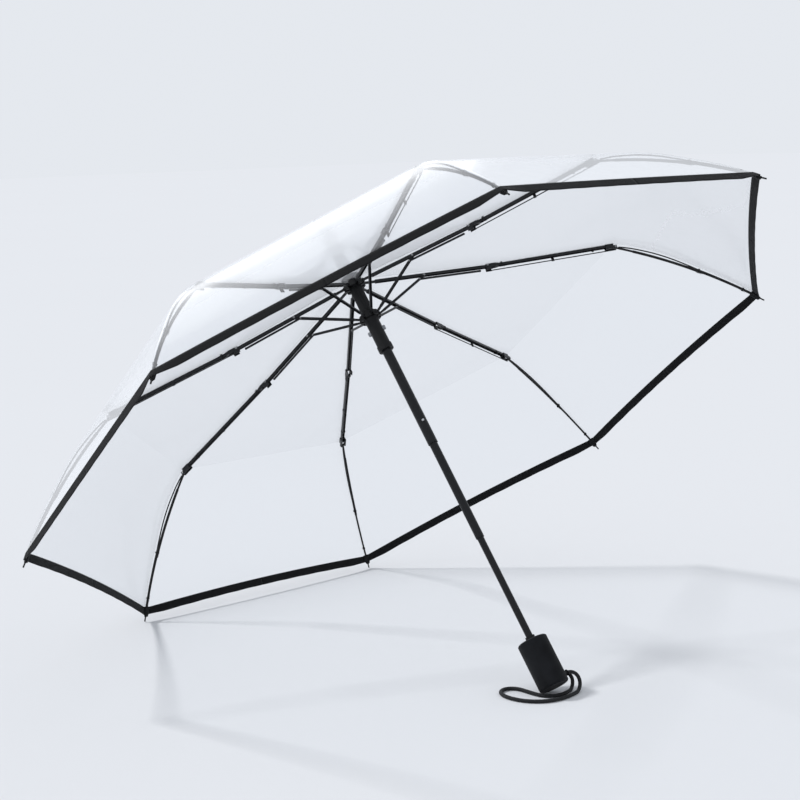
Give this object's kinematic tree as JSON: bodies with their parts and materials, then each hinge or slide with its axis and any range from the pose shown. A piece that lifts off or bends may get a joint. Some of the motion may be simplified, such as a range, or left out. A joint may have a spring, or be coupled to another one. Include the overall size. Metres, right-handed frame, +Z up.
{
  "type": "folding umbrella",
  "caption": "Open compact folding umbrella with a clear film canopy, black bound edge, black folding ribs, telescoping shaft, plain cylindrical handle and a wrist cord.",
  "frame": {"origin": "on the floor, under the middle of the box of the open umbrella without its wrist strap", "axes": "+Z up from the floor; the shaft lies in the XZ plane and leans so that the crown is towards +X and the handle is at -X; +Y is across the canopy, to the side that is seen"},
  "size_m": [0.7058, 0.8964, 0.587],
  "materials": {
    "clear_film": "gloss",
    "black_fabric": "matte",
    "black_plastic": "satin",
    "grey_gloss": "gloss",
    "black_metal": "satin",
    "rib_black": "satin",
    "outer_rib_black": "satin",
    "steel_wire": "satin",
    "soft_black": "matte",
    "strap_cord": "matte"
  },
  "bodies": {
    "crown": {"top_cap": "black_plastic", "crown_notch": "black_plastic", "crown_ring_wire": "steel_wire", "top_tube": "black_metal", "shaft_sleeve": "black_plastic", "tube_catch": "steel_wire", "canopy_film": "clear_film", "edge_binding": "black_fabric"},
    "runner": {"runner_head": "black_plastic", "runner_barrel": "black_plastic", "runner_lugs": "grey_gloss"},
    "middle_tube": {"middle_tube": "black_metal"},
    "handle": {"bottom_tube": "black_metal", "handle_collar": "black_plastic", "handle_grip": "soft_black", "end_cap": "soft_black", "wrist_strap": "strap_cord", "button_spring": "steel_wire", "opening_spring": "steel_wire"},
    "push_button": {"push_button": "grey_gloss"},
    "top_rib_1": {"top_rib_1": "rib_black"},
    "stretcher_1": {"stretcher_1": "rib_black"},
    "link_bar_1": {"link_bar_1": "rib_black"},
    "middle_rib_1": {"middle_rib_1": "rib_black"},
    "outer_rib_1": {"outer_rib_1": "outer_rib_black"},
    "top_rib_2": {"top_rib_2": "rib_black"},
    "stretcher_2": {"stretcher_2": "rib_black"},
    "link_bar_2": {"link_bar_2": "rib_black"},
    "middle_rib_2": {"middle_rib_2": "rib_black"},
    "outer_rib_2": {"outer_rib_2": "outer_rib_black"},
    "top_rib_3": {"top_rib_3": "rib_black"},
    "stretcher_3": {"stretcher_3": "rib_black"},
    "link_bar_3": {"link_bar_3": "rib_black"},
    "middle_rib_3": {"middle_rib_3": "rib_black"},
    "outer_rib_3": {"outer_rib_3": "outer_rib_black"},
    "top_rib_4": {"top_rib_4": "rib_black"},
    "stretcher_4": {"stretcher_4": "rib_black"},
    "link_bar_4": {"link_bar_4": "rib_black"},
    "middle_rib_4": {"middle_rib_4": "rib_black"},
    "outer_rib_4": {"outer_rib_4": "outer_rib_black"},
    "top_rib_5": {"top_rib_5": "rib_black"},
    "stretcher_5": {"stretcher_5": "rib_black"},
    "link_bar_5": {"link_bar_5": "rib_black"},
    "middle_rib_5": {"middle_rib_5": "rib_black"},
    "outer_rib_5": {"outer_rib_5": "outer_rib_black"},
    "top_rib_6": {"top_rib_6": "rib_black"},
    "stretcher_6": {"stretcher_6": "rib_black"},
    "link_bar_6": {"link_bar_6": "rib_black"},
    "middle_rib_6": {"middle_rib_6": "rib_black"},
    "outer_rib_6": {"outer_rib_6": "outer_rib_black"},
    "top_rib_7": {"top_rib_7": "rib_black"},
    "stretcher_7": {"stretcher_7": "rib_black"},
    "link_bar_7": {"link_bar_7": "rib_black"},
    "middle_rib_7": {"middle_rib_7": "rib_black"},
    "outer_rib_7": {"outer_rib_7": "outer_rib_black"},
    "top_rib_8": {"top_rib_8": "rib_black"},
    "stretcher_8": {"stretcher_8": "rib_black"},
    "link_bar_8": {"link_bar_8": "rib_black"},
    "middle_rib_8": {"middle_rib_8": "rib_black"},
    "outer_rib_8": {"outer_rib_8": "outer_rib_black"}
  },
  "joints": [
    {"name": "canopy_fold", "type": "slide", "parent": "crown", "child": "runner", "axis": [-0.6209, 0, -0.7839], "range_m": [0, 0.111], "deforming": ["canopy_film", "edge_binding"]},
    {"name": "shaft_slide", "type": "slide", "parent": "crown", "child": "handle", "axis": [0.6209, 0, 0.7839], "range_m": [0, 0.251]},
    {"name": "middle_tube_slide", "type": "slide", "parent": "crown", "child": "middle_tube", "axis": [0.6209, 0, 0.7839], "range_m": [0, 0.1255]},
    {"name": "button_press", "type": "slide", "parent": "handle", "child": "push_button", "axis": [-0.6789, 0.5, 0.5377], "range_m": [0, 0.0025], "stiffness_N_per_m": 400, "springref_m": -0.002, "deforming": ["button_spring"]},
    {"name": "top_rib_1_fold", "type": "hinge", "parent": "crown", "child": "top_rib_1", "pos_m": [0.13089, 0.00421, 0.42764], "axis": [-0.3, 0.9239, 0.2376], "range_deg": [0, 74]},
    {"name": "stretcher_1_fold", "type": "hinge", "parent": "top_rib_1", "child": "stretcher_1", "pos_m": [0.17645, 0.03345, 0.37149], "axis": [-0.3, 0.9239, 0.2376], "range_deg": [-137.5, 0]},
    {"name": "link_bar_1_fold", "type": "hinge", "parent": "stretcher_1", "child": "link_bar_1", "pos_m": [0.16922, 0.03061, 0.37339], "axis": [-0.3, 0.9239, 0.2376], "range_deg": [0, 137.5]},
    {"name": "middle_rib_1_fold", "type": "hinge", "parent": "top_rib_1", "child": "middle_rib_1", "pos_m": [0.22579, 0.06437, 0.31355], "axis": [-0.3, 0.9239, 0.2376], "range_deg": [-169, 0]},
    {"name": "outer_rib_1_fold", "type": "hinge", "parent": "middle_rib_1", "child": "outer_rib_1", "pos_m": [0.32786, 0.12878, 0.19197], "axis": [-0.3, 0.9239, 0.2376], "range_deg": [0, 138]},
    {"name": "top_rib_2_fold", "type": "hinge", "parent": "crown", "child": "top_rib_2", "pos_m": [0.12622, 0.01016, 0.43134], "axis": [-0.7242, 0.3827, 0.5736], "range_deg": [0, 74]},
    {"name": "stretcher_2_fold", "type": "hinge", "parent": "top_rib_2", "child": "stretcher_2", "pos_m": [0.13937, 0.08074, 0.40085], "axis": [-0.7242, 0.3827, 0.5736], "range_deg": [-137.5, 0]},
    {"name": "link_bar_2_fold", "type": "hinge", "parent": "stretcher_2", "child": "link_bar_2", "pos_m": [0.13529, 0.07389, 0.40027], "axis": [-0.7242, 0.3827, 0.5736], "range_deg": [0, 137.5]},
    {"name": "middle_rib_2_fold", "type": "hinge", "parent": "top_rib_2", "child": "middle_rib_2", "pos_m": [0.15443, 0.15539, 0.37007], "axis": [-0.7242, 0.3827, 0.5736], "range_deg": [-169, 0]},
    {"name": "outer_rib_2_fold", "type": "hinge", "parent": "middle_rib_2", "child": "outer_rib_2", "pos_m": [0.1851, 0.31089, 0.30504], "axis": [-0.7242, 0.3827, 0.5736], "range_deg": [0, 138]},
    {"name": "top_rib_3_fold", "type": "hinge", "parent": "crown", "child": "top_rib_3", "pos_m": [0.11962, 0.01016, 0.43657], "axis": [-0.7242, -0.3827, 0.5736], "range_deg": [0, 74]},
    {"name": "stretcher_3_fold", "type": "hinge", "parent": "top_rib_3", "child": "stretcher_3", "pos_m": [0.08693, 0.08074, 0.44238], "axis": [-0.7242, -0.3827, 0.5736], "range_deg": [-137.5, 0]},
    {"name": "link_bar_3_fold", "type": "hinge", "parent": "stretcher_3", "child": "link_bar_3", "pos_m": [0.0873, 0.07389, 0.43827], "axis": [-0.7242, -0.3827, 0.5736], "range_deg": [0, 137.5]},
    {"name": "middle_rib_3_fold", "type": "hinge", "parent": "top_rib_3", "child": "middle_rib_3", "pos_m": [0.05352, 0.15539, 0.44999], "axis": [-0.7242, -0.3827, 0.5736], "range_deg": [-169, 0]},
    {"name": "outer_rib_3_fold", "type": "hinge", "parent": "middle_rib_3", "child": "outer_rib_3", "pos_m": [-0.01681, 0.31089, 0.46494], "axis": [-0.7242, -0.3827, 0.5736], "range_deg": [0, 138]},
    {"name": "top_rib_4_fold", "type": "hinge", "parent": "crown", "child": "top_rib_4", "pos_m": [0.11496, 0.00421, 0.44026], "axis": [-0.3, -0.9239, 0.2376], "range_deg": [0, 74]},
    {"name": "stretcher_4_fold", "type": "hinge", "parent": "top_rib_4", "child": "stretcher_4", "pos_m": [0.04986, 0.03345, 0.47175], "axis": [-0.3, -0.9239, 0.2376], "range_deg": [-137.5, 0]},
    {"name": "link_bar_4_fold", "type": "hinge", "parent": "stretcher_4", "child": "link_bar_4", "pos_m": [0.05337, 0.03061, 0.46515], "axis": [-0.3, -0.9239, 0.2376], "range_deg": [0, 137.5]},
    {"name": "middle_rib_4_fold", "type": "hinge", "parent": "top_rib_4", "child": "middle_rib_4", "pos_m": [-0.01784, 0.06437, 0.50651], "axis": [-0.3, -0.9239, 0.2376], "range_deg": [-169, 0]},
    {"name": "outer_rib_4_fold", "type": "hinge", "parent": "middle_rib_4", "child": "outer_rib_4", "pos_m": [-0.15957, 0.12878, 0.57801], "axis": [-0.3, -0.9239, 0.2376], "range_deg": [0, 138]},
    {"name": "top_rib_5_fold", "type": "hinge", "parent": "crown", "child": "top_rib_5", "pos_m": [0.11496, -0.00421, 0.44026], "axis": [0.3, -0.9239, -0.2376], "range_deg": [0, 74]},
    {"name": "stretcher_5_fold", "type": "hinge", "parent": "top_rib_5", "child": "stretcher_5", "pos_m": [0.04986, -0.03345, 0.47175], "axis": [0.3, -0.9239, -0.2376], "range_deg": [-137.5, 0]},
    {"name": "link_bar_5_fold", "type": "hinge", "parent": "stretcher_5", "child": "link_bar_5", "pos_m": [0.05337, -0.03061, 0.46515], "axis": [0.3, -0.9239, -0.2376], "range_deg": [0, 137.5]},
    {"name": "middle_rib_5_fold", "type": "hinge", "parent": "top_rib_5", "child": "middle_rib_5", "pos_m": [-0.01784, -0.06437, 0.50651], "axis": [0.3, -0.9239, -0.2376], "range_deg": [-169, 0]},
    {"name": "outer_rib_5_fold", "type": "hinge", "parent": "middle_rib_5", "child": "outer_rib_5", "pos_m": [-0.15957, -0.12878, 0.57801], "axis": [0.3, -0.9239, -0.2376], "range_deg": [0, 138]},
    {"name": "top_rib_6_fold", "type": "hinge", "parent": "crown", "child": "top_rib_6", "pos_m": [0.11962, -0.01016, 0.43657], "axis": [0.7242, -0.3827, -0.5736], "range_deg": [0, 74]},
    {"name": "stretcher_6_fold", "type": "hinge", "parent": "top_rib_6", "child": "stretcher_6", "pos_m": [0.08693, -0.08074, 0.44238], "axis": [0.7242, -0.3827, -0.5736], "range_deg": [-137.5, 0]},
    {"name": "link_bar_6_fold", "type": "hinge", "parent": "stretcher_6", "child": "link_bar_6", "pos_m": [0.0873, -0.07389, 0.43827], "axis": [0.7242, -0.3827, -0.5736], "range_deg": [0, 137.5]},
    {"name": "middle_rib_6_fold", "type": "hinge", "parent": "top_rib_6", "child": "middle_rib_6", "pos_m": [0.05352, -0.15539, 0.44999], "axis": [0.7242, -0.3827, -0.5736], "range_deg": [-169, 0]},
    {"name": "outer_rib_6_fold", "type": "hinge", "parent": "middle_rib_6", "child": "outer_rib_6", "pos_m": [-0.01681, -0.31089, 0.46494], "axis": [0.7242, -0.3827, -0.5736], "range_deg": [0, 138]},
    {"name": "top_rib_7_fold", "type": "hinge", "parent": "crown", "child": "top_rib_7", "pos_m": [0.12622, -0.01016, 0.43134], "axis": [0.7242, 0.3827, -0.5736], "range_deg": [0, 74]},
    {"name": "stretcher_7_fold", "type": "hinge", "parent": "top_rib_7", "child": "stretcher_7", "pos_m": [0.13937, -0.08074, 0.40085], "axis": [0.7242, 0.3827, -0.5736], "range_deg": [-137.5, 0]},
    {"name": "link_bar_7_fold", "type": "hinge", "parent": "stretcher_7", "child": "link_bar_7", "pos_m": [0.13529, -0.07389, 0.40027], "axis": [0.7242, 0.3827, -0.5736], "range_deg": [0, 137.5]},
    {"name": "middle_rib_7_fold", "type": "hinge", "parent": "top_rib_7", "child": "middle_rib_7", "pos_m": [0.15443, -0.15539, 0.37007], "axis": [0.7242, 0.3827, -0.5736], "range_deg": [-169, 0]},
    {"name": "outer_rib_7_fold", "type": "hinge", "parent": "middle_rib_7", "child": "outer_rib_7", "pos_m": [0.1851, -0.31089, 0.30504], "axis": [0.7242, 0.3827, -0.5736], "range_deg": [0, 138]},
    {"name": "top_rib_8_fold", "type": "hinge", "parent": "crown", "child": "top_rib_8", "pos_m": [0.13089, -0.00421, 0.42764], "axis": [0.3, 0.9239, -0.2376], "range_deg": [0, 74]},
    {"name": "stretcher_8_fold", "type": "hinge", "parent": "top_rib_8", "child": "stretcher_8", "pos_m": [0.17645, -0.03345, 0.37149], "axis": [0.3, 0.9239, -0.2376], "range_deg": [-137.5, 0]},
    {"name": "link_bar_8_fold", "type": "hinge", "parent": "stretcher_8", "child": "link_bar_8", "pos_m": [0.16922, -0.03061, 0.37339], "axis": [0.3, 0.9239, -0.2376], "range_deg": [0, 137.5]},
    {"name": "middle_rib_8_fold", "type": "hinge", "parent": "top_rib_8", "child": "middle_rib_8", "pos_m": [0.22579, -0.06437, 0.31355], "axis": [0.3, 0.9239, -0.2376], "range_deg": [-169, 0]},
    {"name": "outer_rib_8_fold", "type": "hinge", "parent": "middle_rib_8", "child": "outer_rib_8", "pos_m": [0.32786, -0.12878, 0.19197], "axis": [0.3, 0.9239, -0.2376], "range_deg": [0, 138]}
  ],
  "couplings": [
    {"joint": "middle_tube_slide", "follows": "shaft_slide", "ratio": 0.5},
    {"joint": "top_rib_1_fold", "follows": "canopy_fold", "rad_per_m": 11.636},
    {"joint": "stretcher_1_fold", "follows": "canopy_fold", "rad_per_m": -21.62},
    {"joint": "link_bar_1_fold", "follows": "canopy_fold", "rad_per_m": 21.62},
    {"joint": "middle_rib_1_fold", "follows": "canopy_fold", "rad_per_m": -26.573},
    {"joint": "outer_rib_1_fold", "follows": "canopy_fold", "rad_per_m": 21.699},
    {"joint": "top_rib_2_fold", "follows": "canopy_fold", "rad_per_m": 11.636},
    {"joint": "stretcher_2_fold", "follows": "canopy_fold", "rad_per_m": -21.62},
    {"joint": "link_bar_2_fold", "follows": "canopy_fold", "rad_per_m": 21.62},
    {"joint": "middle_rib_2_fold", "follows": "canopy_fold", "rad_per_m": -26.573},
    {"joint": "outer_rib_2_fold", "follows": "canopy_fold", "rad_per_m": 21.699},
    {"joint": "top_rib_3_fold", "follows": "canopy_fold", "rad_per_m": 11.636},
    {"joint": "stretcher_3_fold", "follows": "canopy_fold", "rad_per_m": -21.62},
    {"joint": "link_bar_3_fold", "follows": "canopy_fold", "rad_per_m": 21.62},
    {"joint": "middle_rib_3_fold", "follows": "canopy_fold", "rad_per_m": -26.573},
    {"joint": "outer_rib_3_fold", "follows": "canopy_fold", "rad_per_m": 21.699},
    {"joint": "top_rib_4_fold", "follows": "canopy_fold", "rad_per_m": 11.636},
    {"joint": "stretcher_4_fold", "follows": "canopy_fold", "rad_per_m": -21.62},
    {"joint": "link_bar_4_fold", "follows": "canopy_fold", "rad_per_m": 21.62},
    {"joint": "middle_rib_4_fold", "follows": "canopy_fold", "rad_per_m": -26.573},
    {"joint": "outer_rib_4_fold", "follows": "canopy_fold", "rad_per_m": 21.699},
    {"joint": "top_rib_5_fold", "follows": "canopy_fold", "rad_per_m": 11.636},
    {"joint": "stretcher_5_fold", "follows": "canopy_fold", "rad_per_m": -21.62},
    {"joint": "link_bar_5_fold", "follows": "canopy_fold", "rad_per_m": 21.62},
    {"joint": "middle_rib_5_fold", "follows": "canopy_fold", "rad_per_m": -26.573},
    {"joint": "outer_rib_5_fold", "follows": "canopy_fold", "rad_per_m": 21.699},
    {"joint": "top_rib_6_fold", "follows": "canopy_fold", "rad_per_m": 11.636},
    {"joint": "stretcher_6_fold", "follows": "canopy_fold", "rad_per_m": -21.62},
    {"joint": "link_bar_6_fold", "follows": "canopy_fold", "rad_per_m": 21.62},
    {"joint": "middle_rib_6_fold", "follows": "canopy_fold", "rad_per_m": -26.573},
    {"joint": "outer_rib_6_fold", "follows": "canopy_fold", "rad_per_m": 21.699},
    {"joint": "top_rib_7_fold", "follows": "canopy_fold", "rad_per_m": 11.636},
    {"joint": "stretcher_7_fold", "follows": "canopy_fold", "rad_per_m": -21.62},
    {"joint": "link_bar_7_fold", "follows": "canopy_fold", "rad_per_m": 21.62},
    {"joint": "middle_rib_7_fold", "follows": "canopy_fold", "rad_per_m": -26.573},
    {"joint": "outer_rib_7_fold", "follows": "canopy_fold", "rad_per_m": 21.699},
    {"joint": "top_rib_8_fold", "follows": "canopy_fold", "rad_per_m": 11.636},
    {"joint": "stretcher_8_fold", "follows": "canopy_fold", "rad_per_m": -21.62},
    {"joint": "link_bar_8_fold", "follows": "canopy_fold", "rad_per_m": 21.62},
    {"joint": "middle_rib_8_fold", "follows": "canopy_fold", "rad_per_m": -26.573},
    {"joint": "outer_rib_8_fold", "follows": "canopy_fold", "rad_per_m": 21.699}
  ]
}
